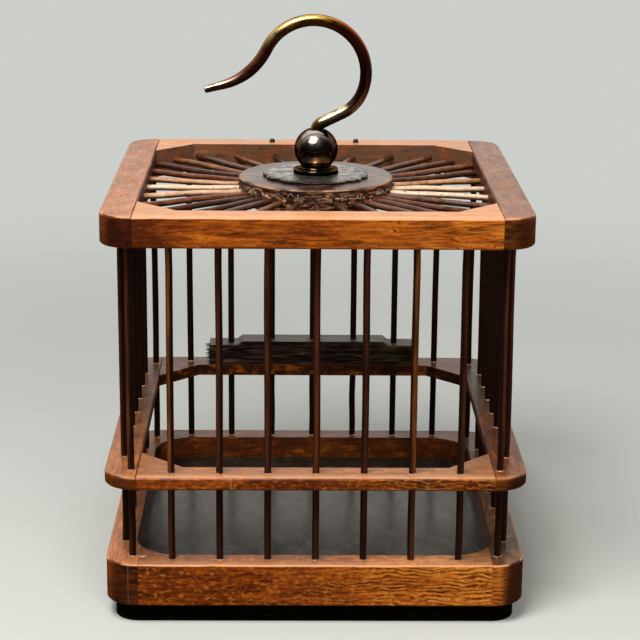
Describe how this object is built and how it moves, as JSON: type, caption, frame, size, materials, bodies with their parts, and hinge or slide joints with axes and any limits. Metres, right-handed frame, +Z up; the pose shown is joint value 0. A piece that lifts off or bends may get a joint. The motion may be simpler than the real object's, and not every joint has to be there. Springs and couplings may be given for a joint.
{
  "type": "cricket cage",
  "caption": "Square hanging cage of thin round wooden bars between three frames, with a sliding door in the back, a wheel of spokes on top and a swivelling bronze hook.",
  "frame": {"origin": "middle of the underside of the plinth, on the surface that the cage stands on", "axes": "+Z up through the hook's stem, -Y out of the front, +Y out of the back with the door, +X to the right of a viewer at the front"},
  "size_m": [0.12, 0.12, 0.1669],
  "materials": {
    "base_rail_wood": "glossy varnished reddish brown hardwood with a rippled figure",
    "ring_rail_wood": "glossy varnished reddish brown hardwood",
    "top_rail_wood": "glossy varnished reddish brown hardwood with dark streaks",
    "bar_wood": "glossy dark reddish brown rod",
    "spoke_wood": "satin brown rod",
    "plinth_lacquer": "black lacquer",
    "floor_lacquer": "dark grey green lacquer, satin",
    "hub_wood": "dark purplish brown, rubbed satin",
    "door_wood": "nearly black worn wood",
    "rosette_patina": "dark grey green patina, satin",
    "collar_bronze": "dark polished bronze",
    "ball_bronze": "dark polished bronze",
    "hook_bronze": "aged bronze, worn bright on its ridges",
    "washer_bronze": "dark bronze"
  },
  "bodies": {
    "cage": {"back_bar_1": "bar_wood", "back_bar_2": "bar_wood", "back_bar_6": "bar_wood", "back_bar_7": "bar_wood", "back_left_corner_bar": "bar_wood", "back_right_corner_bar": "bar_wood", "back_short_bar_3": "bar_wood", "back_short_bar_4": "bar_wood", "back_short_bar_5": "bar_wood", "base_back_rail": "base_rail_wood", "base_front_rail": "base_rail_wood", "base_left_rail": "base_rail_wood", "base_right_rail": "base_rail_wood", "collar": "collar_bronze", "floor_board": "floor_lacquer", "front_bar_1": "bar_wood", "front_bar_2": "bar_wood", "front_bar_3": "bar_wood", "front_bar_4": "bar_wood", "front_bar_5": "bar_wood", "front_bar_6": "bar_wood", "front_bar_7": "bar_wood", "front_left_corner_bar": "bar_wood", "front_right_corner_bar": "bar_wood", "hub_disc": "hub_wood", "left_bar_1": "bar_wood", "left_bar_2": "bar_wood", "left_bar_3": "bar_wood", "left_bar_4": "bar_wood", "left_bar_5": "bar_wood", "left_bar_6": "bar_wood", "left_bar_7": "bar_wood", "plinth": "plinth_lacquer", "right_bar_1": "bar_wood", "right_bar_2": "bar_wood", "right_bar_3": "bar_wood", "right_bar_4": "bar_wood", "right_bar_5": "bar_wood", "right_bar_6": "bar_wood", "right_bar_7": "bar_wood", "ring_back_rail": "ring_rail_wood", "ring_front_rail": "ring_rail_wood", "ring_left_rail": "ring_rail_wood", "ring_right_rail": "ring_rail_wood", "rosette_plate": "rosette_patina", "spokes_back": "spoke_wood", "spokes_front": "spoke_wood", "spokes_left": "spoke_wood", "spokes_right": "spoke_wood", "top_back_rail": "top_rail_wood", "top_front_rail": "top_rail_wood", "top_left_rail": "top_rail_wood", "top_right_rail": "top_rail_wood"},
    "door": {"door_block": "door_wood", "door_bar_1": "bar_wood", "door_bar_2": "bar_wood", "door_bar_3": "bar_wood"},
    "hook": {"hook": "hook_bronze", "ball": "ball_bronze", "hook_washer": "washer_bronze"}
  },
  "joints": [
    {"name": "door_slide", "type": "slide", "parent": "cage", "child": "door", "axis": [0, 0, 1], "range_m": [0, 0.057]},
    {"name": "hook_swivel", "type": "hinge", "parent": "cage", "child": "hook", "pos_m": [0, 0, 0.1269], "axis": [0, 0, 1], "continuous": true}
  ]
}
